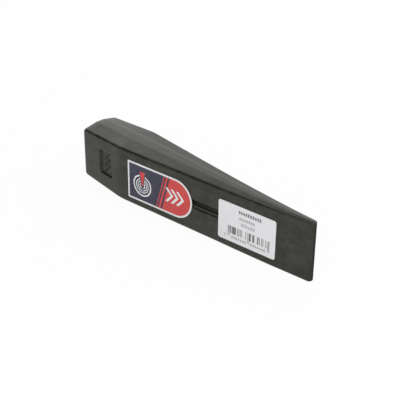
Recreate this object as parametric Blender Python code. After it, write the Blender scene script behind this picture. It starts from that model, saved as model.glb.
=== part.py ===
"""Splitting wedge: one drop-forged steel wedge with two paper labels stuck on one cheek.

Metres, +Z up. The wedge lies on its lower narrow side. The poll, the end that is struck, is at
-X, the bit is at +X and the labelled cheek faces -Y. The origin is at the middle of the underside
of the wedge's box. "Along" below is the distance from the poll.
"""

import math

import bmesh
import bpy
from mathutils import Matrix, Vector

# Driving dimensions of the forging
LENGTH = 0.230
WIDTH = 0.0502  # across the head, over the lands of both narrow sides
POLL_THICKNESS = 0.0333
SHOULDER_THICKNESS = 0.0390
BIT_THICKNESS = 0.0054  # where the two cheeks would end without the rounded edge
SHOULDER_ALONG = 0.0476  # the head gets thicker up to here, then the taper begins
SHOULDER_BLEND = 0.005  # half the length over which the shoulder is rounded
HEAD_LIFT = 0.0020  # how far the head's underside rises towards the poll
WAIST_FALL = 0.0024  # the upper narrow side falls towards the bit by this much
FLARE_RISE = 0.0024  # and sweeps up again at the bit
BIT_LIFT = 0.0012  # how far the underside rises at the bit
BIT_LIFT_FROM = 0.82  # the share of the taper up to which the underside lies flat

# Draft of the die: each narrow side is a flat land with a sloping facet down to either cheek
POLL_DRAFT = 0.0037
SHOULDER_DRAFT = 0.0023
BIT_DRAFT = 0.0008
LAND_SHARE = 0.24  # the land's width as a share of the thickness
LAND_RUN_OUT = 0.010  # over this length the lands fall away towards the poll
LAND_LEAST = 0.15  # the share of the draft that is left at the poll

# Rounded edges
CHEEK_EDGE_RADIUS = 0.0019
CHEEK_EDGE_STEPS = 3
CHEEK_CORNERS = (0, 1, 4, 5)  # of a section's eight corners, those where a cheek ends
MOST_EDGE_SHARE = 0.25  # of the half thickness, where the bit is too thin for the full radius
POLL_EDGE_RADIUS = 0.0042
POLL_EDGE_ANGLES = (90, 65, 40, 20, 0)
NOSE_LENGTH = 0.0025  # length of the rounded cutting edge
NOSE_ANGLES = (0, 25, 48, 68)
BIT_TOP_RADIUS = 0.0024
BIT_BOTTOM_RADIUS = 0.0027

# Stamped panel on the labelled side of the head, with three slanted ribs on its floor
PANEL_ALONG = 0.0304
PANEL_HEIGHT = 0.0265
PANEL_LENGTH = 0.0155
PANEL_WIDTH = 0.0212
PANEL_DEPTH = 0.0013
PANEL_WALL_SLOPE = 0.0012  # how much smaller the panel's floor is, on each side
PANEL_CORNER = 0.0012
RIB_COUNT = 3
RIB_LENGTH = 0.0088
RIB_WIDTH = 0.0016
RIB_RISE = 0.0008
RIB_PITCH = 0.0052
RIB_TURN = math.radians(45)

# Long groove on the middle of each cheek, with a ledge along its lower side
GROOVE_ALONG = 0.1303
GROOVE_HEIGHT = 0.0254
GROOVE_HALF_LENGTH = 0.0660
GROOVE_HALF_HEIGHT = 0.0038
GROOVE_DEPTH = 0.0029
GROOVE_SECTION = (  # (share of the half height above the middle, share of the depth)
    (1.0, 0.0),
    (0.88, 0.15),
    (0.70, 0.45),
    (0.24, 0.92),
    (-0.08, 1.0),
    (-0.22, 0.80),
    (-0.36, 0.38),
    (-0.70, 0.33),
    (-1.0, 0.0),
)
GROOVE_ANGLES = (4, 10, 18, 30, 45, 60, 75, 90, 105, 120, 135, 150, 162, 170, 176)

# Labels
LABEL_GAP = 0.00025  # the adhesive's space between label and steel
LABEL_THICKNESS = 0.00015
ROUND_LABEL_ALONG = 0.0577  # its square end
ROUND_LABEL_LENGTH = 0.0650
ROUND_LABEL_WIDTH = 0.0325
ROUND_LABEL_LOW = 0.0080
ROUND_LABEL_CORNER = 0.0007
BARCODE_LABEL_ALONG = 0.1478
BARCODE_LABEL_LENGTH = 0.0518
BARCODE_LABEL_WIDTH = 0.0320
BARCODE_LABEL_LOW = 0.0075
BARCODE_LABEL_CORNER = 0.0019

TAPER_LENGTH = LENGTH - SHOULDER_ALONG
HEAD_SLOPE = (SHOULDER_THICKNESS - POLL_THICKNESS) / 2 / SHOULDER_ALONG
TAPER_SLOPE = (BIT_THICKNESS - SHOULDER_THICKNESS) / 2 / TAPER_LENGTH


def softened_ramp(distance):
    """Zero before the shoulder and the distance past it, with the corner rounded."""
    if distance <= -SHOULDER_BLEND:
        return 0.0
    if distance >= SHOULDER_BLEND:
        return distance
    return (distance + SHOULDER_BLEND) ** 2 / (4 * SHOULDER_BLEND)


def bent_line(start, head_slope, taper_slope, along):
    """A value that changes at one rate on the head and at another on the taper."""
    return start + head_slope * along + (taper_slope - head_slope) * softened_ramp(along - SHOULDER_ALONG)


def half_thickness(along):
    return bent_line(POLL_THICKNESS / 2, HEAD_SLOPE, TAPER_SLOPE, along)


def draft_height(along):
    head = (SHOULDER_DRAFT - POLL_DRAFT) / SHOULDER_ALONG
    taper = (BIT_DRAFT - SHOULDER_DRAFT) / TAPER_LENGTH
    return bent_line(POLL_DRAFT, head, taper, along)


def land_share(along):
    """The share of the draft by which the lands stand above the cheeks' edges."""
    short = max(0.0, 1 - along / LAND_RUN_OUT)
    return max(LAND_LEAST, math.sqrt(1 - short**2))


def corner_fall(along, radius):
    """How far a rounded corner of the bit has drawn in at this place."""
    past = max(0.0, along - (LENGTH - radius))
    return radius - math.sqrt(max(0.0, radius**2 - past**2))


def taper_share(along):
    return max(0.0, (along - SHOULDER_ALONG) / TAPER_LENGTH)


def top_height(along):
    sweep = FLARE_RISE * taper_share(along) ** 4 - WAIST_FALL * taper_share(along)
    return WIDTH + sweep - corner_fall(along, BIT_TOP_RADIUS)


def bottom_height(along):
    lift = bent_line(HEAD_LIFT, -HEAD_LIFT / SHOULDER_ALONG, 0.0, along)
    lift += BIT_LIFT * max(0.0, taper_share(along) - BIT_LIFT_FROM) / (1 - BIT_LIFT_FROM)
    return lift + corner_fall(along, BIT_BOTTOM_RADIUS)


def rounded_corner(before, corner, after, radius, steps):
    """Points of the arc that rounds one corner of an outline."""
    to_before = (before - corner).normalized()
    to_after = (after - corner).normalized()
    half_angle = to_before.angle(to_after) / 2
    centre = corner + (to_before + to_after).normalized() * (radius / math.sin(half_angle))
    start = corner + to_before * (radius / math.tan(half_angle)) - centre
    end = corner + to_after * (radius / math.tan(half_angle)) - centre
    turn = start.angle_signed(end)
    return [centre + Matrix.Rotation(-turn * step / steps, 2) @ start for step in range(steps + 1)]


def section(along, inset, nose_share):
    """Outline of the forging across its length, as points (y, z)."""
    thick = (half_thickness(along) - inset) * nose_share
    draft = draft_height(along) * nose_share
    land = thick * LAND_SHARE
    rise = draft * land_share(along)
    edge_top = top_height(along) - inset - draft
    edge_bottom = bottom_height(along) + inset + draft
    radius = min(CHEEK_EDGE_RADIUS, thick * MOST_EDGE_SHARE)
    corners = [
        Vector((-thick, edge_bottom)),
        Vector((-thick, edge_top)),
        Vector((-land, edge_top + rise)),
        Vector((land, edge_top + rise)),
        Vector((thick, edge_top)),
        Vector((thick, edge_bottom)),
        Vector((land, edge_bottom - rise)),
        Vector((-land, edge_bottom - rise)),
    ]
    outline = []
    for index, corner in enumerate(corners):
        if index in CHEEK_CORNERS:
            before = corners[index - 1]
            after = corners[(index + 1) % len(corners)]
            outline += rounded_corner(before, corner, after, radius, CHEEK_EDGE_STEPS)
        else:
            outline.append(corner)
    return outline


def stations():
    """(along, inset, nose share) of each section, from the poll to the bit."""
    places = []
    for angle in POLL_EDGE_ANGLES:
        turn = math.radians(angle)
        along = POLL_EDGE_RADIUS * (1 - math.sin(turn))
        inset = POLL_EDGE_RADIUS * (1 - math.cos(turn))
        places.append((along, inset, 1.0))
    places.append((LAND_RUN_OUT, 0.0, 1.0))
    for share in (-1.0, -0.5, 0.0, 0.5, 1.0):
        places.append((SHOULDER_ALONG + share * SHOULDER_BLEND, 0.0, 1.0))
    for share in (0.25, 0.45, 0.6, 0.72, BIT_LIFT_FROM, 0.9):
        places.append((SHOULDER_ALONG + share * TAPER_LENGTH, 0.0, 1.0))
    places.append((LENGTH - BIT_BOTTOM_RADIUS, 0.0, 1.0))
    last = math.sin(math.radians(NOSE_ANGLES[-1]))
    for angle in NOSE_ANGLES:
        turn = math.radians(angle)
        places.append((LENGTH - NOSE_LENGTH * (1 - math.sin(turn) / last), 0.0, math.cos(turn)))
    return places


def join_rings(builder, rings):
    """A closed skin over a row of outlines, each with the same number of points."""
    count = len(rings[0])
    for ring, following in zip(rings, rings[1:]):
        for index in range(count):
            after = (index + 1) % count
            builder.faces.new((ring[index], following[index], following[after], ring[after]))
    builder.faces.new(rings[0])
    builder.faces.new(reversed(rings[-1]))
    bmesh.ops.recalc_face_normals(builder, faces=builder.faces)


def new_object(name, mesh_builder, material, smooth_angle=None):
    mesh = bpy.data.meshes.new(name)
    mesh_builder.normal_update()
    mesh_builder.to_mesh(mesh)
    mesh_builder.free()
    if material:
        mesh.materials.append(material)
    if smooth_angle:
        mesh.shade_smooth()
        mesh.set_sharp_from_angle(angle=smooth_angle)
    obj = bpy.data.objects.new(name, mesh)
    bpy.context.scene.collection.objects.link(obj)
    return obj


def new_material(name, colour, roughness, metallic):
    material = bpy.data.materials.new(name)
    material.use_nodes = True
    shader = material.node_tree.nodes["Principled BSDF"]
    shader.inputs["Base Color"].default_value = (*colour, 1.0)
    shader.inputs["Roughness"].default_value = roughness
    shader.inputs["Metallic"].default_value = metallic
    return material


def cheek_place(along, height, side):
    """Matrix of a frame on a cheek: X along the cheek, Z up, -Y out of the metal."""
    on_head = along < SHOULDER_ALONG
    slope = HEAD_SLOPE if on_head else TAPER_SLOPE
    start = POLL_THICKNESS / 2 if on_head else SHOULDER_THICKNESS / 2 - TAPER_SLOPE * SHOULDER_ALONG
    point = Vector((along - LENGTH / 2, -side * (start + slope * along), height))
    turn = -math.atan(slope) * side + (0.0 if side > 0 else math.pi)
    return Matrix.Translation(point) @ Matrix.Rotation(turn, 4, "Z")


def mark_as_cutter(obj):
    obj.hide_render = True
    obj.display_type = "WIRE"


def add_boolean(obj, other, operation):
    mark_as_cutter(other)
    modifier = obj.modifiers.new(f"{operation.lower()} {other.name}", "BOOLEAN")
    modifier.operation = operation
    modifier.solver = "EXACT"
    modifier.object = other


def panel_cutter():
    """A block that leaves the stamped panel. It stands as far out of the metal as it cuts in."""
    builder = bmesh.new()
    bmesh.ops.create_cube(builder, size=1.0)
    for vertex in builder.verts:
        inwards = 1 if vertex.co.y > 0 else -1
        vertex.co.x = math.copysign(PANEL_LENGTH / 2 - inwards * PANEL_WALL_SLOPE, vertex.co.x)
        vertex.co.z = math.copysign(PANEL_WIDTH / 2 - inwards * PANEL_WALL_SLOPE, vertex.co.z)
        vertex.co.y = inwards * PANEL_DEPTH
    upright = [edge for edge in builder.edges if abs(edge.verts[0].co.y - edge.verts[1].co.y) > PANEL_DEPTH]
    bmesh.ops.bevel(builder, geom=upright, offset=PANEL_CORNER, segments=2, affect="EDGES", profile=0.5)
    obj = new_object("panel_cutter", builder, None)
    obj.matrix_world = cheek_place(PANEL_ALONG, PANEL_HEIGHT, 1)
    return obj


def panel_ribs():
    """The raised ribs on the panel's floor, each rooted in the metal below it."""
    builder = bmesh.new()
    for index in range(RIB_COUNT):
        height = (index - (RIB_COUNT - 1) / 2) * RIB_PITCH
        made = bmesh.ops.create_cube(builder, size=1.0)["verts"]
        bmesh.ops.scale(builder, vec=(RIB_LENGTH, 2 * RIB_RISE, RIB_WIDTH), verts=made)
        bmesh.ops.rotate(builder, matrix=Matrix.Rotation(-RIB_TURN, 3, "Y"), verts=made)
        bmesh.ops.translate(builder, vec=(0.0, PANEL_DEPTH, height), verts=made)
    obj = new_object("panel_ribs", builder, None)
    obj.matrix_world = cheek_place(PANEL_ALONG, PANEL_HEIGHT, 1)
    return obj


def groove_cutter(name, side):
    """A long spindle of the groove's section, laid along a cheek and standing a little out of it."""
    above, below = GROOVE_SECTION[0], GROOVE_SECTION[-1]
    first = (2 * above[0] - GROOVE_SECTION[1][0], -GROOVE_SECTION[1][1])
    last = (2 * below[0] - GROOVE_SECTION[-2][0], -GROOVE_SECTION[-2][1])
    outline = [first, *GROOVE_SECTION[1:-1], last]
    builder = bmesh.new()
    rings = []
    for angle in GROOVE_ANGLES:
        place = -GROOVE_HALF_LENGTH * math.cos(math.radians(angle))
        share = math.sin(math.radians(angle))
        deep = GROOVE_DEPTH * share
        high = GROOVE_HALF_HEIGHT * share
        rings.append([builder.verts.new((place, depth * deep, rise * high)) for rise, depth in outline])
    join_rings(builder, rings)
    obj = new_object(name, builder, None)
    obj.matrix_world = cheek_place(GROOVE_ALONG, GROOVE_HEIGHT, side)
    return obj


def wedge_body():
    """The forging: sections joined from poll to bit, then the panel and the grooves cut in."""
    builder = bmesh.new()
    rings = []
    for along, inset, nose_share in stations():
        outline = section(along, inset, nose_share)
        rings.append([builder.verts.new((along - LENGTH / 2, point.x, point.y)) for point in outline])
    join_rings(builder, rings)
    steel = new_material("blackened_steel", (0.040, 0.040, 0.036), 0.5, 0.0)
    obj = new_object("wedge_body", builder, steel, math.radians(24))
    add_boolean(obj, panel_cutter(), "DIFFERENCE")
    add_boolean(obj, panel_ribs(), "UNION")
    add_boolean(obj, groove_cutter("groove_cutter_front", 1), "DIFFERENCE")
    add_boolean(obj, groove_cutter("groove_cutter_back", -1), "DIFFERENCE")
    return obj


def label(name, outline, material, along, low):
    """A sheet of the outline's shape, given as points (x, z) from its lower corner."""
    builder = bmesh.new()
    face = builder.faces.new([builder.verts.new((x, -LABEL_GAP, z)) for x, z in outline])
    made = bmesh.ops.extrude_face_region(builder, geom=[face])["geom"]
    moved = [item for item in made if isinstance(item, bmesh.types.BMVert)]
    bmesh.ops.translate(builder, vec=(0.0, -LABEL_THICKNESS, 0.0), verts=moved)
    bmesh.ops.recalc_face_normals(builder, faces=builder.faces)
    obj = new_object(name, builder, material)
    obj.matrix_world = cheek_place(along, low, 1)
    return obj


def arc(centre_x, centre_z, radius, first, last, steps):
    """Points on an arc, between two angles in degrees."""
    points = []
    for step in range(steps + 1):
        turn = math.radians(first + (last - first) * step / steps)
        points.append((centre_x + radius * math.cos(turn), centre_z + radius * math.sin(turn)))
    return points


def round_end_label():
    corner = ROUND_LABEL_CORNER
    end = ROUND_LABEL_WIDTH / 2
    outline = arc(corner, corner, corner, 180, 270, 3)
    outline += arc(ROUND_LABEL_LENGTH - end, end, end, -90, 90, 32)
    outline += arc(corner, ROUND_LABEL_WIDTH - corner, corner, 90, 180, 3)
    ink = new_material("printed_paper", (0.045, 0.042, 0.085), 0.35, 0.0)
    return label("round_end_label", outline, ink, ROUND_LABEL_ALONG, ROUND_LABEL_LOW)


def barcode_label():
    corner = BARCODE_LABEL_CORNER
    right = BARCODE_LABEL_LENGTH - corner
    top = BARCODE_LABEL_WIDTH - corner
    outline = arc(corner, corner, corner, 180, 270, 6)
    outline += arc(right, corner, corner, 270, 360, 6)
    outline += arc(right, top, corner, 0, 90, 6)
    outline += arc(corner, top, corner, 90, 180, 6)
    paper = new_material("white_paper", (0.72, 0.73, 0.75), 0.55, 0.0)
    return label("barcode_label", outline, paper, BARCODE_LABEL_ALONG, BARCODE_LABEL_LOW)


for leftover in list(bpy.data.objects):
    bpy.data.objects.remove(leftover)
wedge = wedge_body()
for sticker in (round_end_label(), barcode_label()):
    sticker.parent = wedge
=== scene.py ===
"""Looks of a forged splitting wedge with two stock labels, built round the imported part.

Metres, in the part's own frame: the struck end (the poll) is at -X, the cutting edge (the bit) at
+X, the labelled cheek faces -Y and the wedge lies on z = 0. "Along" is the distance from the poll.
"""

import math

import bmesh
import bpy
from mathutils import Matrix, Vector


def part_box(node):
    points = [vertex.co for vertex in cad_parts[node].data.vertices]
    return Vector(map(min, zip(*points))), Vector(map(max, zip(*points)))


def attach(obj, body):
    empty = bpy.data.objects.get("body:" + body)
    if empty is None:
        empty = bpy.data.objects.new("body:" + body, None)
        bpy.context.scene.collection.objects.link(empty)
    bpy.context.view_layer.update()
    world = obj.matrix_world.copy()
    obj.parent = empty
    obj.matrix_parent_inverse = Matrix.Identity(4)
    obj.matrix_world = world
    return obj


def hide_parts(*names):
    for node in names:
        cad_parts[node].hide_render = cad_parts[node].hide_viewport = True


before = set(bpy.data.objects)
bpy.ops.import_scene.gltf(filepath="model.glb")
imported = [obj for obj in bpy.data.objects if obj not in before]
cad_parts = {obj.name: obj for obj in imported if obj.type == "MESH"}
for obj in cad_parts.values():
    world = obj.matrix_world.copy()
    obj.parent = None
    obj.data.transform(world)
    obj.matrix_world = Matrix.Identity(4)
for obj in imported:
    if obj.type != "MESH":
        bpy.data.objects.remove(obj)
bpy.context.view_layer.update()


# The wedge: one drop-forged piece of tool steel. Two dies shape its cheeks, the draft on its narrow
# sides, the stamped panel on the head and the long groove of each cheek, and the flash is trimmed off
# along the lands. It is blackened all over and left as rough as it came from the dies.

wedge_low, wedge_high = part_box("wedge_body")
ALLOWANCE = 0.00001  # the finished skin stays this far inside the forging's ends
LENGTH = wedge_high.x - wedge_low.x - 2 * ALLOWANCE
EDGE_RADIUS = 0.0019
POLL_RADIUS = 0.0042
NOSE_LENGTH = 0.0025
PANEL_START, PANEL_END = 0.0213, 0.0395  # the stretches that need a fine grid
GROOVE_START, GROOVE_END = 0.0638, 0.1968
GROOVE_TIP = 0.008
FINE_PITCH = 0.00036
PLAIN_PITCH = 0.0011
ACROSS_PITCH = 1.3 * PLAIN_PITCH  # on the narrow sides
ARC_STEPS = 6
EDGE_STEPS = 4
GROOVE_STEPS = 18
GROOVE_LINES = 0.7  # share of the grid's middle band that is inside the groove
BAND_STEP = 0.1  # between the lines in the rest of that band
PANEL_REACH = 1.4  # how far up the blank the panel reaches
GROOVE_LEAST = 0.0005  # the grid's middle band is at least this high on either side
GROOVE_FADE = 1.2  # of the groove's half length, where the band is straight again
GROOVE_SECTION = (  # (share of the height, share of the depth), from the lower lip to the upper one
    (0.0, 0.0),
    (0.15, 0.33),
    (0.32, 0.38),
    (0.39, 0.80),
    (0.46, 1.0),
    (0.62, 0.92),
    (0.85, 0.45),
    (0.94, 0.15),
    (1.0, 0.0),
)
WEDGE_SIZES = {
    "Poll X": wedge_low.x + ALLOWANCE,
    "Length": LENGTH,
    "Width": 0.0502,
    "Poll Thickness": 0.0333,
    "Shoulder Thickness": 0.0390,
    "Bit Thickness": 0.0054,
    "Shoulder Along": 0.0476,
    "Shoulder Blend": 0.0050,
    "Head Lift": 0.0020,
    "Waist Fall": 0.0024,
    "Flare Rise": 0.0024,
    "Bit Lift": 0.0012,
    "Bit Lift From": 0.6,
    "Poll Draft": 0.0037,
    "Shoulder Draft": 0.0023,
    "Bit Draft": 0.0008,
    "Land Share": 0.24,
    "Land Run Out": 0.010,
    "Land Least": 0.15,
    "Edge Radius": EDGE_RADIUS,
    "Most Edge Share": 0.18,
    "Poll Radius": POLL_RADIUS,
    "Nose Length": NOSE_LENGTH,
    "Bit Top Radius": 0.0024,
    "Bit Bottom Radius": 0.0016,
    "Panel Along": 0.0304,
    "Panel Height": 0.0265,
    "Panel Length": 0.0155,
    "Panel Width": 0.0212,
    "Panel Depth": 0.0017,
    "Panel Wall": 0.0006,
    "Panel Corner": 0.0012,
    "Rib Length": 0.0088,
    "Rib Width": 0.0016,
    "Rib Rise": 0.0012,
    "Rib Pitch": 0.0052,
    "Rib Turn": math.radians(45),
    "Groove Along": 0.1303,
    "Groove Height": 0.0254,
    "Groove Half Length": 0.0660,
    "Groove Half Height": 0.0038,
    "Groove Depth": 0.0029,
    "Groove Band": 0.0052,
    "Ripple Depth": 0.00009,
    "Ripple Size": 0.016,
    "Scale Depth": 0.00004,
    "Scale Size": 0.0030,
    "Seed": 7.0,
}


def add_node(tree, kind, inputs=None, **settings):
    """A new node with its settings made and its inputs filled or linked."""
    node = tree.nodes.new(kind)
    for name, value in settings.items():
        setattr(node, name, value)
    for name, value in (inputs or {}).items():
        if isinstance(value, Formula):
            value = value.socket
        if isinstance(value, bpy.types.NodeSocket):
            tree.links.new(value, node.inputs[name])
        else:
            node.inputs[name].default_value = value
    return node


class Formula:
    """A number that changes over a surface, so that a node tree is written as a formula."""

    def __init__(self, tree, socket):
        self.tree = tree
        self.socket = socket

    def math(self, operation, *others):
        inputs = dict(enumerate((self, *others)))
        node = add_node(self.tree, "ShaderNodeMath", inputs, operation=operation)
        return Formula(self.tree, node.outputs[0])

    def __add__(self, other):
        return self.math("ADD", other)

    def __sub__(self, other):
        return self.math("SUBTRACT", other)

    def __rsub__(self, other):
        return self.math("MULTIPLY_ADD", -1.0, other)

    def __mul__(self, other):
        return self.math("MULTIPLY", other)

    def __truediv__(self, other):
        return self.math("DIVIDE", other)

    def __pow__(self, other):
        return self.math("POWER", other)

    def __abs__(self):
        return self.math("ABSOLUTE")

    __radd__ = __add__
    __rmul__ = __mul__

    def at_least(self, other):
        return self.math("MAXIMUM", other)

    def at_most(self, other):
        return self.math("MINIMUM", other)

    def softly_at_least(self, other, blend):
        return self.math("SMOOTH_MAX", other, blend)

    def softly_at_most(self, other, blend):
        return self.math("SMOOTH_MIN", other, blend)

    def above(self, other):
        return self.math("GREATER_THAN", other)

    def below(self, other):
        return self.math("LESS_THAN", other)

    def between(self, low, high):
        return self.above(low) * self.below(high)

    def root(self):
        return self.at_least(0.0).math("SQRT")

    def side(self):
        return self.math("SIGN")

    def eased(self, low, high):
        """0 at low and 1 at high, easing in and out."""
        inputs = {"Value": self, "From Min": low, "From Max": high}
        node = add_node(self.tree, "ShaderNodeMapRange", inputs, interpolation_type="SMOOTHSTEP")
        return Formula(self.tree, node.outputs["Result"])


def split(tree, socket):
    """The three numbers of a vector."""
    outputs = add_node(tree, "ShaderNodeSeparateXYZ", {"Vector": socket}).outputs
    return [Formula(tree, output) for output in outputs]


def distance_of(first, second):
    return (first * first + second * second).root()


def drawn_in(distance, radius):
    """How far an outline has drawn in at this distance from an end of that radius."""
    short = (radius - distance).at_least(0.0)
    return radius - (radius * radius - short * short).root()


def new_shape(name, sizes):
    """A Geometry Nodes tree with a named input for each size: the tree, its geometry, its sizes."""
    tree = bpy.data.node_groups.new(name, "GeometryNodeTree")
    tree.interface.new_socket("Blank", in_out="INPUT", socket_type="NodeSocketGeometry")
    for label in sizes:
        tree.interface.new_socket(label, in_out="INPUT", socket_type="NodeSocketFloat")
    tree.interface.new_socket("Shape", in_out="OUTPUT", socket_type="NodeSocketGeometry")
    given = tree.nodes.new("NodeGroupInput").outputs
    return tree, given["Blank"], {label: Formula(tree, given[label]) for label in sizes}


def moved_to(tree, geometry, x, y, z):
    place = add_node(tree, "ShaderNodeCombineXYZ", {"X": x, "Y": y, "Z": z}).outputs["Vector"]
    inputs = {"Geometry": geometry, "Position": place}
    return add_node(tree, "GeometryNodeSetPosition", inputs).outputs[0]


def stored(tree, geometry, name, value):
    """Keeps a number on the surface, under a name that the material reads."""
    inputs = {"Geometry": geometry, "Name": name, "Value": value}
    return add_node(tree, "GeometryNodeStoreNamedAttribute", inputs, data_type="FLOAT").outputs[0]


def sunk_by_noise(tree, geometry, size, depth, seed):
    """Lets a surface sink by up to a depth, in hollows of about the given size."""
    inputs = {"W": seed, "Scale": size**-1.0, "Detail": 2.0}
    hollows = add_node(tree, "ShaderNodeTexNoise", inputs, noise_dimensions="4D")
    sink = Formula(tree, hollows.outputs["Fac"]).eased(0.25, 0.75) * depth * -1.0
    normal = tree.nodes.new("GeometryNodeInputNormal").outputs["Normal"]
    inputs = {0: normal, "Scale": sink}
    offset = add_node(tree, "ShaderNodeVectorMath", inputs, operation="SCALE").outputs["Vector"]
    inputs = {"Geometry": geometry, "Offset": offset}
    return add_node(tree, "GeometryNodeSetPosition", inputs).outputs[0]


def close_shape(tree, geometry, material):
    """Ends a tree: the shape as plain geometry, shaded smooth, in its material."""
    real = add_node(tree, "GeometryNodeRealizeInstances", {"Geometry": geometry}).outputs[0]
    inputs = {"Geometry": real, "Shade Smooth": True}
    smooth = add_node(tree, "GeometryNodeSetShadeSmooth", inputs).outputs[0]
    inputs = {"Geometry": smooth, "Material": material}
    done = add_node(tree, "GeometryNodeSetMaterial", inputs).outputs[0]
    add_node(tree, "NodeGroupOutput", {"Shape": done})


def spread(start, end, pitch):
    """Evenly spaced places from start up to, but not at, end, no further apart than the pitch."""
    count = math.ceil((end - start) / pitch)
    return [start + (end - start) * step / count for step in range(count)]


def opening_arc(radius, steps):
    """Places along a rounded end, close together where its outline is steepest."""
    return [radius * (1 - math.cos(math.pi / 2 * step / steps)) for step in range(steps)]


def closing_arc(length, radius, steps):
    """The same places at the far end of a length, up to and at that end."""
    return [length - place for place in reversed(opening_arc(radius, steps) + [radius])]


def blank(name, x_lines, y_lines, z_lines):
    """A closed block with its grid lines at the given places, as stock to be shaped."""
    lines = (x_lines, y_lines, z_lines)
    builder = bmesh.new()
    corners = {}
    for axis in range(3):
        first, second = (axis + 1) % 3, (axis + 2) % 3
        for end in (0, len(lines[axis]) - 1):
            for a in range(len(lines[first]) - 1):
                for b in range(len(lines[second]) - 1):
                    face = []
                    for over_a, over_b in ((0, 0), (1, 0), (1, 1), (0, 1)):
                        key = [end, end, end]
                        key[first] = a + over_a
                        key[second] = b + over_b
                        key = tuple(key)
                        if key not in corners:
                            corners[key] = builder.verts.new([lines[i][key[i]] for i in range(3)])
                        face.append(corners[key])
                    builder.faces.new(face if end else reversed(face))
    mesh = bpy.data.meshes.new(name)
    builder.to_mesh(mesh)
    builder.free()
    piece = bpy.data.objects.new(name, mesh)
    bpy.context.scene.collection.objects.link(piece)
    return piece


def shape(piece, tree, sizes):
    """Runs the tree on the blank with these sizes, and keeps the result as the piece's own mesh."""
    modifier = piece.modifiers.new(tree.name, "NODES")
    modifier.node_group = tree
    for item in tree.interface.items_tree:
        if item.in_out == "INPUT" and item.name in sizes:
            modifier[item.identifier] = sizes[item.name]
    evaluated = piece.evaluated_get(bpy.context.evaluated_depsgraph_get())
    mesh = bpy.data.meshes.new_from_object(evaluated)
    piece.modifiers.remove(modifier)
    piece.data = mesh
    mesh.name = piece.name


def groove_share(size, along):
    """The groove's size at this place, as a share of the full one, and how far off its ends are."""
    lengthwise = (along - size["Groove Along"]) / size["Groove Half Length"]
    return (1.0 - lengthwise * lengthwise).root(), abs(lengthwise).eased(1.0, GROOVE_FADE)


def groove_line(size, along, reach):
    """Distance of a grid line from the groove's middle, so that lines run along the groove."""
    share, past_end = groove_share(size, along)
    band = size["Groove Band"]
    half = (size["Groove Half Height"] * share).at_least(GROOVE_LEAST) * (1.0 - past_end)
    half = half + band * GROOVE_LINES * past_end
    within = (reach / GROOVE_LINES).at_most(1.0) * half
    return within + ((reach - GROOVE_LINES) / (1.0 - GROOVE_LINES)).at_least(0.0) * (band - half)


def groove_depth(size, along, height):
    """Depth of the long groove, which has one section all along and fades at both ends."""
    share, _ = groove_share(size, along)
    rise = (height - size["Groove Height"]) / (size["Groove Half Height"] * share)
    place = (rise * 0.5 + 0.5).at_least(0.0).at_most(1.0)
    section = add_node(place.tree, "ShaderNodeFloatCurve", {"Value": place})
    points = section.mapping.curves[0].points
    for at, depth in GROOVE_SECTION[1:-1]:
        points.new(at, depth)
    points[-1].location = GROOVE_SECTION[-1]
    for point in points:
        point.handle_type = "AUTO_CLAMPED"
    section.mapping.update()
    return Formula(place.tree, section.outputs["Value"]) * size["Groove Depth"] * share


PANEL_SOFTNESS = 0.3  # of the panel's depth, at the top and the foot of its walls
RIB_SOFTNESS = 0.0004
RIB_FOOT = 0.0003  # how far a rib's foot spreads


def panel_depth(size, along, height):
    """Depth of the stamped panel, less the rise of the slanted ribs on its floor."""
    over = along - size["Panel Along"]
    up = height - size["Panel Height"]
    corner = size["Panel Corner"]
    past_end = abs(over) - size["Panel Length"] * 0.5 + corner
    past_side = abs(up) - size["Panel Width"] * 0.5 + corner
    beyond = distance_of(past_end.at_least(0.0), past_side.at_least(0.0))
    outside = beyond + past_end.at_least(past_side).at_most(0.0) - corner
    floor = (outside * -1.0 / size["Panel Wall"]).softly_at_least(0.0, PANEL_SOFTNESS)
    floor = floor.softly_at_most(1.0, PANEL_SOFTNESS)
    cosine = size["Rib Turn"].math("COSINE")
    sine = size["Rib Turn"].math("SINE")
    pitch = size["Rib Pitch"]
    sideways = up * cosine - over * sine
    row = (sideways / (pitch * cosine)).math("ROUND").at_least(-1.0).at_most(1.0)
    off_end = abs(over * cosine + (up - row * pitch) * sine) - size["Rib Length"] * 0.5
    off_side = abs(sideways - row * pitch * cosine) - size["Rib Width"] * 0.5
    inside_rib = off_end.softly_at_least(off_side, RIB_SOFTNESS) * -1.0
    on_rib = inside_rib.eased(-RIB_FOOT, RIB_SOFTNESS)
    return floor * (size["Panel Depth"] - on_rib * size["Rib Rise"])


NOSE_ROUNDING = 0.96  # at 1 the cheeks would meet in a line
LAND_SOFTNESS = 0.08
BURR_WIDTH = 0.12  # as a share of the facet
NARROW_SIDE = 1.999  # how far up the blank its narrow sides are


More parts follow.
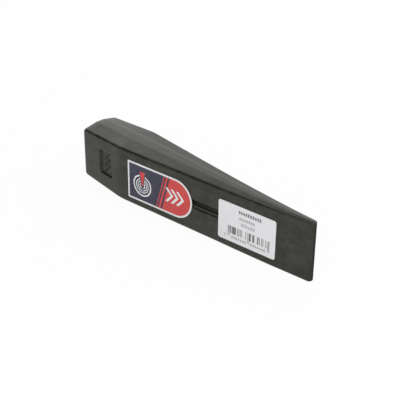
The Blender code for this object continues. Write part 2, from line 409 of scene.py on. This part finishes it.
def wedge_shape(sizes, material):
    """The dies: every point of the blank (along, -1 to 1 across, -2 to 2 up) goes to its place."""
    tree, geometry, size = new_shape("forged_wedge", sizes)
    along, across, up = split(tree, tree.nodes.new("GeometryNodeInputPosition").outputs["Position"])
    taper_length = size["Length"] - size["Shoulder Along"]
    past = along - size["Shoulder Along"]
    blend = size["Shoulder Blend"]
    bend = (past + blend).at_least(0.0).at_most(blend * 2.0)
    past_softly = bend * bend / (blend * 4.0) + (past - blend).at_least(0.0)

    def bent_line(poll, shoulder, bit):
        head_rate = (shoulder - poll) / size["Shoulder Along"]
        taper_rate = (bit - shoulder) / taper_length
        return poll + head_rate * along + (taper_rate - head_rate) * past_softly

    inset = drawn_in(along, size["Poll Radius"])
    before_bit = size["Length"] - along
    into_nose = (1.0 - before_bit / size["Nose Length"]).at_least(0.0)
    nose = (1.0 - into_nose * into_nose * NOSE_ROUNDING).root()
    thickness = bent_line(size["Poll Thickness"], size["Shoulder Thickness"], size["Bit Thickness"])
    half_thick = (thickness * 0.5 - inset) * nose
    draft = bent_line(size["Poll Draft"], size["Shoulder Draft"], size["Bit Draft"]) * nose
    share = (past / taper_length).at_least(0.0)
    top = size["Width"] + size["Flare Rise"] * share**4.0 - size["Waist Fall"] * share
    top = top - drawn_in(before_bit, size["Bit Top Radius"]) - inset - draft
    before_shoulder = 1.0 - along / size["Shoulder Along"] + past_softly / size["Shoulder Along"]
    lift = before_shoulder * size["Head Lift"]
    swept = ((share - size["Bit Lift From"]) / (1.0 - size["Bit Lift From"])).at_least(0.0)
    lift = lift + size["Bit Lift"] * swept * swept
    bottom = lift + drawn_in(before_bit, size["Bit Bottom Radius"]) + inset + draft
    middle = (top + bottom) * 0.5
    half_wide = (top - bottom) * 0.5
    radius = size["Edge Radius"].at_most(half_thick * size["Most Edge Share"])

    from_groove = half_wide + up.side() * (middle - size["Groove Height"])
    past_band = (abs(up) - 1.0).at_least(0.0) * (from_groove - size["Groove Band"])
    off_groove = groove_line(size, along, abs(up).at_most(1.0)) + past_band
    line = size["Groove Height"] + up.side() * off_groove
    out = abs(across) * half_thick
    rise = abs(line - middle)
    core_out = half_thick - radius
    core_rise = half_wide - radius
    over_out = (out - core_out).at_least(0.0)
    over_rise = (rise - core_rise).at_least(0.0)
    pull = over_out.at_least(over_rise) / distance_of(over_out, over_rise).at_least(0.000001)
    out = out.at_most(core_out) + over_out * pull
    rise = rise.at_most(core_rise) + over_rise * pull
    land_short = (1.0 - along / size["Land Run Out"]).at_least(0.0)
    land_rise = draft * (1.0 - land_short * land_short).root().at_least(size["Land Least"])
    to_land = (half_thick - out) / (half_thick * (1.0 - size["Land Share"]))
    facet = to_land.softly_at_most(1.0, LAND_SOFTNESS)
    rise = rise + land_rise * facet * (rise / half_wide).at_most(1.0)
    height = middle + (line - middle).side() * rise

    panel = panel_depth(size, along, height) * across.below(0.0)
    sunk = panel + groove_depth(size, along, height)
    on_narrow_side = abs(up).above(NARROW_SIDE)
    geometry = stored(tree, geometry, "land", to_land.eased(0.80, 1.04) * on_narrow_side)
    burr = (1.0 - abs(to_land - 1.0) / BURR_WIDTH).at_least(0.0) * across.above(0.0) * on_narrow_side
    geometry = stored(tree, geometry, "burr", burr)
    rounded = over_out.at_most(over_rise) / radius
    rounded = rounded.at_least(1.0 - along / size["Poll Radius"]).at_least(into_nose)
    geometry = stored(tree, geometry, "rounding", rounded)
    geometry = stored(tree, geometry, "nose", into_nose)
    geometry = moved_to(tree, geometry, along + size["Poll X"], across.side() * (out - sunk), height)
    geometry = sunk_by_noise(tree, geometry, size["Ripple Size"], size["Ripple Depth"], size["Seed"])
    geometry = sunk_by_noise(tree, geometry, size["Scale Size"], size["Scale Depth"], size["Seed"])
    close_shape(tree, geometry, material)
    return tree


def noise_on(tree, place, scale, detail):
    node = add_node(tree, "ShaderNodeTexNoise", {"Vector": place, "Scale": scale, "Detail": detail})
    return Formula(tree, node.outputs["Fac"])


def new_effect(name, amount, results):
    """A shader group given a place on a surface and an amount: the group, its place, its amount."""
    group = bpy.data.node_groups.new(name, "ShaderNodeTree")
    group.interface.new_socket("Place", in_out="INPUT", socket_type="NodeSocketVector")
    group.interface.new_socket(amount, in_out="INPUT", socket_type="NodeSocketFloat")
    for result in results:
        group.interface.new_socket(result, in_out="OUTPUT", socket_type="NodeSocketFloat")
    given = group.nodes.new("NodeGroupInput").outputs
    return group, given["Place"], Formula(group, given[amount])


SCUFF_TURN = (0.3, 0.5, 0.2)
SCUFF_STRETCH = (160.0, 1500.0, 1500.0)  # scuffs to a metre, along them and across
SCUFF_PATCH_SCALE = 85.0
DUST_SCALE = 2300.0


def rubs_group():
    """Shader group: fine scuffs and a film of dust, as on any stocked tool."""
    group, place, amount = new_effect("stock_rubs", "Scuff Amount", ("Scuffs", "Dust"))
    turned = {"Vector": place, "Rotation": SCUFF_TURN, "Scale": SCUFF_STRETCH}
    drawn = add_node(group, "ShaderNodeMapping", turned).outputs["Vector"]
    patch = noise_on(group, place, SCUFF_PATCH_SCALE, 3.0).eased(0.5, 0.72)
    scuffs = noise_on(group, drawn, 1.0, 2.0).eased(0.60, 0.74) * patch * amount
    dust = noise_on(group, place, DUST_SCALE, 1.0).eased(0.58, 0.8) * amount
    add_node(group, "NodeGroupOutput", {"Scuffs": scuffs, "Dust": dust})
    return group


stock_rubs = rubs_group()


def new_finish(name):
    """A material with its node tree, its Principled shader and Object coordinates at hand."""
    material = bpy.data.materials.new(name)
    material.use_nodes = True
    tree = material.node_tree
    place = tree.nodes.new("ShaderNodeTexCoord").outputs["Object"]
    return material, tree, tree.nodes["Principled BSDF"], place


def placed(tree, group, place, values):
    """A shader group in a material, with its own values: its outputs by name."""
    node = add_node(tree, "ShaderNodeGroup", node_tree=group)
    tree.links.new(place, node.inputs["Place"])
    for name, value in values.items():
        node.inputs[name].default_value = value
    return {output.name: Formula(tree, output) for output in node.outputs}


def kept_on(tree, name):
    """A number that the piece's shape keeps on its surface."""
    return Formula(tree, add_node(tree, "ShaderNodeAttribute", attribute_name=name).outputs["Fac"])


def mixed(tree, under, over, share):
    """One colour laid over another by a share that changes over the surface."""
    inputs = {0: share, 6: under, 7: over}
    return add_node(tree, "ShaderNodeMix", inputs, data_type="RGBA").outputs[2]


def bumped(tree, shader, height, strength, distance):
    inputs = {"Height": height, "Strength": strength, "Distance": distance}
    tree.links.new(add_node(tree, "ShaderNodeBump", inputs).outputs["Normal"], shader.inputs["Normal"])


STEEL_DARK = (0.0042, 0.0044, 0.0034, 1.0)
STEEL_LIGHT = (0.0285, 0.0294, 0.0245, 1.0)
STEEL_TRIMMED = (0.085, 0.086, 0.077, 1.0)
STEEL_RUBBED = (0.075, 0.076, 0.066, 1.0)
STEEL_DUST = (0.060, 0.061, 0.054, 1.0)
# the near-black colour of the painted shade along the bit's rounded nose, which stands for a dark
# reflection there
STEEL_PAINTED_NOSE_SHADE = (0.0008, 0.0008, 0.0006, 1.0)
STEEL_GLOSS = (0.98, 1.0, 0.86, 1.0)
CLOUD_SCALE, MOTTLE_SCALE, GRAIN_SCALE = 62.0, 210.0, 950.0
STREAK_STRETCH = (22.0, 260.0, 260.0)  # drawn out along the wedge
GRINDING_STRETCH = (2600.0, 60.0, 60.0)  # drawn out across the lands


def blackened_steel():
    """Satin black oxide: cloudy and grained, rubbed on edges, ground on the lands, with painted shade
    along the bit.
    """
    material, tree, shader, place = new_finish("blackened_steel")
    clouds = noise_on(tree, place, CLOUD_SCALE, 4.0)
    mottle = noise_on(tree, place, MOTTLE_SCALE, 2.0)
    grain = noise_on(tree, place, GRAIN_SCALE, 4.0)
    flow = {"Vector": place, "Scale": STREAK_STRETCH}
    drawn = add_node(tree, "ShaderNodeMapping", flow).outputs["Vector"]
    streaks = noise_on(tree, drawn, 1.0, 3.0)
    land, burr, edge = (kept_on(tree, name) for name in ("land", "burr", "rounding"))
    # painted shade: the rounded nose of the bit is darkened in colour, and made rougher, to stand for
    # the dark reflection along it
    painted_nose_shade = kept_on(tree, "nose").eased(0.76, 1.0)
    rubs = placed(tree, stock_rubs, place, {"Scuff Amount": 0.35})
    scuffs, dust = rubs["Scuffs"], rubs["Dust"]
    tone = clouds * 0.35 + mottle * 0.30 + streaks * 0.20 + grain * 0.15
    colour = mixed(tree, STEEL_DARK, STEEL_LIGHT, tone.eased(0.36, 0.66))
    trimmed = land * (0.28 + clouds * 0.5) + burr * 0.9
    colour = mixed(tree, colour, STEEL_TRIMMED, trimmed.at_most(1.0))
    worn = edge.eased(0.55, 1.0) * grain.eased(0.50, 0.66) * 0.18 * (1.0 - painted_nose_shade)
    colour = mixed(tree, colour, STEEL_RUBBED, (worn + scuffs).at_most(1.0))
    colour = mixed(tree, colour, STEEL_DUST, dust)
    colour = mixed(tree, colour, STEEL_PAINTED_NOSE_SHADE, painted_nose_shade)
    tree.links.new(colour, shader.inputs["Base Color"])
    roughness = 0.28 + clouds * 0.08 + mottle * 0.08 + land * 0.06 + dust * 0.1 + painted_nose_shade * 0.35
    tree.links.new(roughness.socket, shader.inputs["Roughness"])
    shader.inputs["Specular Tint"].default_value = STEEL_GLOSS
    shader.inputs["Specular IOR Level"].default_value = 0.44
    across = {"Vector": place, "Scale": GRINDING_STRETCH}
    ground = add_node(tree, "ShaderNodeMapping", across).outputs["Vector"]
    grinding = noise_on(tree, ground, 1.0, 2.0) * land
    bumped(tree, shader, grain + streaks * 0.4 + grinding * 0.8 - scuffs * 0.3, 0.35, 0.00012)
    return material


along_lines = opening_arc(POLL_RADIUS, ARC_STEPS)
along_lines += spread(POLL_RADIUS, PANEL_START, PLAIN_PITCH)
along_lines += spread(PANEL_START, PANEL_END, FINE_PITCH)
along_lines += spread(PANEL_END, GROOVE_START, PLAIN_PITCH)
along_lines += spread(GROOVE_START, GROOVE_START + GROOVE_TIP, FINE_PITCH)
along_lines += spread(GROOVE_START + GROOVE_TIP, GROOVE_END - GROOVE_TIP, PLAIN_PITCH)
along_lines += spread(GROOVE_END - GROOVE_TIP, GROOVE_END, FINE_PITCH)
along_lines += spread(GROOVE_END, LENGTH - NOSE_LENGTH, PLAIN_PITCH)
along_lines += closing_arc(LENGTH, NOSE_LENGTH, ARC_STEPS)
half_up = spread(0.0, GROOVE_LINES, GROOVE_LINES / GROOVE_STEPS) + spread(GROOVE_LINES, 1.0, BAND_STEP)
rest_of_cheek = WEDGE_SIZES["Width"] / 2 - WEDGE_SIZES["Groove Band"]
edge_share = EDGE_RADIUS / rest_of_cheek
half_up += spread(1.0, PANEL_REACH, FINE_PITCH / rest_of_cheek)
half_up += spread(PANEL_REACH, 2 - edge_share, PLAIN_PITCH / rest_of_cheek)
half_up += spread(2 - edge_share, 2.0, edge_share / EDGE_STEPS) + [2.0]
half_thick = WEDGE_SIZES["Shoulder Thickness"] / 2
edge_share = EDGE_RADIUS / half_thick
half_across = spread(0.0, 1 - edge_share, ACROSS_PITCH / half_thick)
half_across += spread(1 - edge_share, 1.0, edge_share / EDGE_STEPS) + [1.0]


def mirrored(half_lines):
    return [-line for line in reversed(half_lines[1:])] + half_lines


wedge = blank("forged_wedge", along_lines, mirrored(half_across), mirrored(half_up))
shape(wedge, wedge_shape(WEDGE_SIZES, blackened_steel()), WEDGE_SIZES)
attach(wedge, "root")
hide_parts("wedge_body")


# The round-ended label: a printed vinyl sticker with a white border, square at one end and round at the
# other. It is pressed flat on the labelled cheek and dips a little where it bridges the groove. Its
# print is a split log on navy, with white chevrons on red that point to the bit.

taper_length = LENGTH - WEDGE_SIZES["Shoulder Along"]
taper_slope = (WEDGE_SIZES["Bit Thickness"] - WEDGE_SIZES["Shoulder Thickness"]) / 2 / taper_length
CHEEK_TURN = -math.atan(taper_slope)
LABEL_PITCH = 0.0013
CORNER_STEPS, ROUND_END_STEPS = 5, 20
MILLIMETRES = 1000.0  # in a metre: the prints are laid out in millimetres


def label_sizes(along, low, length, width, left_corner, right_corner):
    """Sizes of a label that starts this far along the tapering part of the labelled cheek."""
    past_shoulder = along - WEDGE_SIZES["Shoulder Along"]
    half_thickness = WEDGE_SIZES["Shoulder Thickness"] / 2 + taper_slope * past_shoulder
    return {
        "Groove Along": WEDGE_SIZES["Groove Along"],
        "Groove Half Length": WEDGE_SIZES["Groove Half Length"],
        "Groove Height": WEDGE_SIZES["Groove Height"],
        "Groove Half Height": WEDGE_SIZES["Groove Half Height"],
        "Along": along,
        "Start X": WEDGE_SIZES["Poll X"] + along,
        "Start Y": -half_thickness,
        "Cheek Turn": CHEEK_TURN,
        "Low": low,
        "Length": length,
        "Width": width,
        "Left Corner": left_corner,
        "Right Corner": right_corner,
        "Gap": 0.00006,
        "Thickness": 0.00015,
        "Dip": 0.00014,
        "Wave Depth": 0.00003,
        "Wave Size": 0.009,
        "Seed": 3.0,
    }


def label_blank(name, sizes):
    """Stock for a label, with lines close together where its outline curves."""
    left, right = sizes["Left Corner"], sizes["Right Corner"]
    length_lines = opening_arc(left, CORNER_STEPS) + spread(left, sizes["Length"] - right, LABEL_PITCH)
    length_lines += closing_arc(sizes["Length"], right, ROUND_END_STEPS)
    up_lines = spread(-1.0, 1.0, LABEL_PITCH * 2 / sizes["Width"]) + [1.0]
    return blank(name, length_lines, [0.0, 1.0], up_lines)


def label_shape(name, sizes, material):
    """The blank (distance from its left end, 0 to 1 outwards, -1 to 1 up) is laid on the cheek."""
    tree, geometry, size = new_shape(name, sizes)
    place, outwards, up = split(tree, tree.nodes.new("GeometryNodeInputPosition").outputs["Position"])
    cut_away = drawn_in(place, size["Left Corner"])
    cut_away = cut_away + drawn_in(size["Length"] - place, size["Right Corner"])
    height = size["Low"] + size["Width"] * 0.5 + up * (size["Width"] * 0.5 - cut_away)
    cosine = size["Cheek Turn"].math("COSINE")
    sine = size["Cheek Turn"].math("SINE")
    bridged, _ = groove_share(size, size["Along"] + place * cosine)
    dip = (1.0 - abs(height - size["Groove Height"]) / size["Groove Half Height"]).eased(0.0, 1.0)
    lift = size["Gap"] + outwards * size["Thickness"] - dip * bridged * size["Dip"]
    x = size["Start X"] + place * cosine + lift * sine
    y = size["Start Y"] + place * sine - lift * cosine
    geometry = moved_to(tree, geometry, x, y, height)
    geometry = sunk_by_noise(tree, geometry, size["Wave Size"], size["Wave Depth"], size["Seed"])
    close_shape(tree, geometry, material)
    return tree


def label_place(tree, place, sizes):
    """Millimetres on a label's face: along it from its left end, and up it from its lower edge."""
    x, y, z = split(tree, place)
    along = (x - sizes["Start X"]) * math.cos(CHEEK_TURN)
    along = along + (y - sizes["Start Y"]) * math.sin(CHEEK_TURN)
    return along * MILLIMETRES, (z - sizes["Low"]) * MILLIMETRES


SHADE_SCALE = 130.0


def grain_group():
    """Shader group: the fine grain of a label's face and the faint unevenness of its white."""
    group, place, scale = new_effect("paper_grain", "Grain Scale", ("Grain", "Shade"))
    grain = noise_on(group, place, scale, 3.0)
    shade = noise_on(group, place, SHADE_SCALE, 2.0).eased(0.35, 0.75)
    add_node(group, "NodeGroupOutput", {"Grain": grain, "Shade": shade})
    return group


paper_grain = grain_group()
LABEL_WHITE = (0.78, 0.785, 0.80, 1.0)
LABEL_SHADE = (0.62, 0.62, 0.66, 1.0)
NAVY = (0.030, 0.030, 0.060, 1.0)
RED = (0.59, 0.056, 0.050, 1.0)
BORDER = 1.5
LOG_ALONG, LOG_UP, LOG_RADIUS = 15.0, 14.6, 9.2
RING_PITCH, RING_INK, RING_WOBBLE, RINGS_END = 1.9, 0.42, 1.2, 1.7
RING_WOBBLE_SCALE = 240.0
BARK = 1.2
CLEFT_SLOPE, CLEFT_DEPTH, CLEFT_GAP = 0.20, 3.5, 0.4  # the split in the log
DRIVEN_DEPTH, DRIVEN_RISE = 2.0, 2.6  # the red wedge in it
STRIPE_LEAN = 0.28
STRIPES = ((28.6, 29.5), (31.0, 32.9), (34.6, 99.0))  # red, from edge to edge along the lower side
CHEVRON_START, CHEVRON_PITCH, CHEVRON_COUNT, CHEVRON_RISE = 44.0, 5.4, 3, 6.0
CHEVRON_SLOPE, CHEVRON_INK = 0.9, 0.46


def printed_paper(sizes):
    """Glossy ink on white vinyl: navy and red fields inside a white border, with two plain motifs."""
    material, tree, shader, place = new_finish("printed_paper")
    along, up = label_place(tree, place, sizes)
    middle = sizes["Width"] * MILLIMETRES / 2
    past_straight = (along - (sizes["Length"] * MILLIMETRES - middle)).at_least(0.0)
    inside = along.at_most(middle - distance_of(past_straight, up - middle))
    leaning = along - up * STRIPE_LEAN
    red = leaning.between(*STRIPES[0])
    for stripe in STRIPES[1:]:
        red = red + leaning.between(*stripe)
    colour = mixed(tree, NAVY, RED, red)

    from_middle = abs(up - middle)
    pointed = along + from_middle * CHEVRON_SLOPE - CHEVRON_START
    chevrons = (pointed / CHEVRON_PITCH).math("FRACT").below(CHEVRON_INK)
    chevrons = chevrons * from_middle.below(CHEVRON_RISE)
    chevrons = chevrons * pointed.between(0.0, CHEVRON_PITCH * CHEVRON_COUNT)
    colour = mixed(tree, colour, LABEL_WHITE, chevrons)

    log_along, log_up = along - LOG_ALONG, up - LOG_UP
    wobble = noise_on(tree, place, RING_WOBBLE_SCALE, 1.0) * RING_WOBBLE
    from_heart = distance_of(log_along, log_up) + wobble - RING_WOBBLE / 2
    rings = (from_heart / RING_PITCH).math("FRACT").below(RING_INK)
    rings = rings * from_heart.below(LOG_RADIUS - RINGS_END)
    bark = from_heart.between(LOG_RADIUS - BARK, LOG_RADIUS)
    split_open = abs(log_along).below((log_up + CLEFT_DEPTH) * CLEFT_SLOPE + CLEFT_GAP)
    colour = mixed(tree, colour, LABEL_WHITE, (rings + bark) * (1.0 - split_open))
    driven = abs(log_along).below((log_up + DRIVEN_DEPTH) * CLEFT_SLOPE)
    driven = driven * log_up.below(LOG_RADIUS + DRIVEN_RISE)
    colour = mixed(tree, colour, RED, driven)

    colour = mixed(tree, LABEL_WHITE, colour, inside.eased(BORDER - 0.1, BORDER + 0.1))
    grain = placed(tree, paper_grain, place, {"Grain Scale": 1500.0})
    rubs = placed(tree, stock_rubs, place, {"Scuff Amount": 0.25})
    colour = mixed(tree, colour, LABEL_SHADE, grain["Shade"] * 0.03 + rubs["Scuffs"] * 0.3)
    tree.links.new(colour, shader.inputs["Base Color"])
    roughness = 0.34 + grain["Grain"] * 0.12 + rubs["Scuffs"] * 0.2
    tree.links.new(roughness.socket, shader.inputs["Roughness"])
    shader.inputs["Specular IOR Level"].default_value = 0.38
    bumped(tree, shader, grain["Grain"] - rubs["Scuffs"] * 0.5, 0.15, 0.00004)
    return material


def stuck(name, sizes, tree, node):
    """Makes a label from its blank, with a sharp cut edge, and puts it in its node's place."""
    label = label_blank(name, sizes)
    shape(label, tree, sizes)
    label.data.set_sharp_from_angle(angle=math.radians(50))
    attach(label, "root")
    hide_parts(node)


ROUND_LABEL = label_sizes(0.0577, 0.0080, 0.0650, 0.0325, 0.0007, 0.0162)
round_label_tree = label_shape("round_label", ROUND_LABEL, printed_paper(ROUND_LABEL))
stuck("round_label", ROUND_LABEL, round_label_tree, "round_end_label")


# The stock label: a white paper sticker with rounded corners, printed in black by a label printer with
# a row of bars and a few rows of dashes. It is stuck on the same cheek, nearer the bit, over the
# groove's other end.

INK = (0.022, 0.022, 0.024, 1.0)
BARS_LEFT, BARS_RIGHT, BARS_LOW, BARS_HIGH, GUARDS_LOW = 9.8, 46.0, 7.0, 13.3, 4.2
BAR_MODULE = 0.62
GUARD_INNER, GUARD_OUTER = 0.3, 0.8  # each guard is a pair of bars, this far off its middle
BAR_BLACKNESS = 0.85
DASH_INK = 0.72  # the share of each pitch that is printed
DASH_LEAST = 0.7  # the shortest dash, as a share of its row's height
DASH_ROWS = (  # (left, right, low, high, pitch, blackness)
    (18.6, 39.4, 26.0, 29.2, 2.08, 0.80),
    (19.4, 33.8, 21.0, 23.8, 2.06, 0.50),
    (21.0, 33.6, 16.2, 19.0, 2.10, 0.42),
    (12.4, 26.4, 3.2, 5.6, 2.00, 0.50),
    (29.6, 43.6, 3.2, 5.6, 2.00, 0.50),
    (5.6, 7.6, 3.2, 5.6, 2.00, 0.45),
)


def chance(tree, number):
    """A number from 0 to 1 that is always the same for the same number."""
    node = add_node(tree, "ShaderNodeTexWhiteNoise", {"W": number}, noise_dimensions="1D")
    return Formula(tree, node.outputs[0])


def white_paper(sizes):
    """Matt white paper with thermal print: bars that stand for no number, dashes that spell nothing."""
    material, tree, shader, place = new_finish("white_paper")
    along, up = label_place(tree, place, sizes)
    module = ((along - BARS_LEFT) / BAR_MODULE).math("FLOOR")
    in_row = along.between(BARS_LEFT, BARS_RIGHT) * up.between(BARS_LOW, BARS_HIGH)
    bars = chance(tree, module).above(0.5) * in_row
    for guard in (BARS_LEFT, (BARS_LEFT + BARS_RIGHT) / 2, BARS_RIGHT):
        pair = abs(along - guard).between(GUARD_INNER, GUARD_OUTER) * up.between(GUARDS_LOW, BARS_HIGH)
        bars = bars.at_least(pair)
    ink = bars * BAR_BLACKNESS
    for left, right, low, high, pitch, blackness in DASH_ROWS:
        step = (along - left) / pitch
        share = DASH_LEAST + chance(tree, step.math("FLOOR") + low) * (1 - DASH_LEAST)
        tall = up.between(low, low + (high - low) * share)
        dashes = step.math("FRACT").below(DASH_INK) * along.between(left, right) * tall
        ink = ink + dashes * blackness
    grain = placed(tree, paper_grain, place, {"Grain Scale": 2100.0})
    rubs = placed(tree, stock_rubs, place, {"Scuff Amount": 0.2})
    colour = mixed(tree, LABEL_WHITE, LABEL_SHADE, grain["Shade"] * 0.12 + rubs["Scuffs"] * 0.3)
    colour = mixed(tree, colour, INK, ink * (1.1 - grain["Grain"] * 0.3))
    tree.links.new(colour, shader.inputs["Base Color"])
    roughness = 0.48 + grain["Grain"] * 0.16
    tree.links.new(roughness.socket, shader.inputs["Roughness"])
    bumped(tree, shader, grain["Grain"] - rubs["Scuffs"] * 0.5, 0.20, 0.00004)
    return material


STOCK_LABEL = label_sizes(0.1478, 0.0075, 0.0518, 0.0320, 0.0019, 0.0019)
stock_label_tree = label_shape("stock_label", STOCK_LABEL, white_paper(STOCK_LABEL))
stuck("stock_label", STOCK_LABEL, stock_label_tree, "barcode_label")


# The stage: a white floor that runs out of sight, even white light from all round, two weak soft boxes
# on the front and the head, and a black flag up in front on the left that keeps the light out of the
# rounded edges. The camera looks down on the labelled cheek from in front of the bit.

FLOOR_SIZE = 40.0
CAMERA_GLOW = 0.95  # the share of the floor's white that the camera sees whatever the shadow
MIRROR_GLOW = 0.6  # and the share that a glossy surface mirrors


def square(name, size, place, material):
    """A flat square on the stage."""
    builder = bmesh.new()
    bmesh.ops.create_grid(builder, x_segments=1, y_segments=1, size=size / 2)
    bmesh.ops.transform(builder, matrix=place, verts=builder.verts)
    mesh = bpy.data.meshes.new(name)
    builder.to_mesh(mesh)
    builder.free()
    mesh.materials.append(material)
    result = bpy.data.objects.new(name, mesh)
    bpy.context.scene.collection.objects.link(result)
    return result


floor_paint = bpy.data.materials.new("floor_paint")
floor_paint.use_nodes = True
tree = floor_paint.node_tree
tree.nodes.clear()
matt = add_node(tree, "ShaderNodeBsdfDiffuse", {"Color": (0.92, 0.92, 0.92, 1.0)}).outputs["BSDF"]
white = {"Color": (1.0, 1.0, 1.0, 1.0), "Strength": 1.0}
glow = add_node(tree, "ShaderNodeEmission", white).outputs["Emission"]
ray = tree.nodes.new("ShaderNodeLightPath").outputs
mirrored_share = Formula(tree, ray["Is Glossy Ray"]) + Formula(tree, ray["Is Transmission Ray"])
seen = Formula(tree, ray["Is Camera Ray"]) * CAMERA_GLOW + mirrored_share * MIRROR_GLOW
mixing = {0: seen.at_most(1.0), 1: matt, 2: glow}
paint = add_node(tree, "ShaderNodeMixShader", mixing).outputs["Shader"]
add_node(tree, "ShaderNodeOutputMaterial", {"Surface": paint})
floor = square("floor", FLOOR_SIZE, Matrix.Identity(4), floor_paint)


def facing_the_part(direction, distance):
    """A place in the studio from which a light or a flag faces the part."""
    towards = Vector(direction).normalized()
    return Matrix.Translation(towards * distance) @ towards.to_track_quat("Z", "Y").to_matrix().to_4x4()


FLAG_DIRECTION = (-0.60, -0.50, 0.62)
FLAG_DISTANCE = 1.5
FLAG_SIZE = 1.7
flag_cloth = bpy.data.materials.new("flag_cloth")
flag_cloth.use_nodes = True
cloth = flag_cloth.node_tree.nodes["Principled BSDF"].inputs
cloth["Base Color"].default_value = (0.01, 0.01, 0.01, 1.0)
cloth["Roughness"].default_value = 1.0
flag = square("flag", FLAG_SIZE, facing_the_part(FLAG_DIRECTION, FLAG_DISTANCE), flag_cloth)
flag.visible_camera = False


def soft_box(name, direction, distance, size, power):
    light = bpy.data.lights.new(name, "AREA")
    light.shape = "SQUARE"
    light.size = size
    light.energy = power
    box = bpy.data.objects.new(name, light)
    box.matrix_world = facing_the_part(direction, distance)
    bpy.context.scene.collection.objects.link(box)


soft_box("front_box", direction=(0.40, -0.75, 0.53), distance=1.6, size=1.2, power=5.0)
soft_box("head_box", direction=(-0.80, 0.35, 0.48), distance=1.8, size=0.9, power=2.0)

world = bpy.data.worlds.new("studio")
world.use_nodes = True
world.node_tree.nodes["Background"].inputs["Color"].default_value = (1.0, 1.0, 1.0, 1.0)
world.node_tree.nodes["Background"].inputs["Strength"].default_value = 1.0
bpy.context.scene.world = world

CAMERA_PLACE = Vector((0.49494, -0.49889, 0.42024))
CAMERA_RIGHT = Vector((0.70795, 0.70618, 0.01077))
CAMERA_UP = Vector((-0.35586, 0.34349, 0.86912))
camera_data = bpy.data.cameras.new("camera")
camera_data.sensor_width = 36.0
camera_data.lens = 95.63
camera = bpy.data.objects.new("camera", camera_data)
turn = Matrix((CAMERA_RIGHT, CAMERA_UP, CAMERA_RIGHT.cross(CAMERA_UP))).transposed().to_4x4()
camera.matrix_world = Matrix.Translation(CAMERA_PLACE) @ turn
bpy.context.scene.collection.objects.link(camera)
bpy.context.scene.camera = camera
bpy.context.scene.view_settings.view_transform = "Standard"
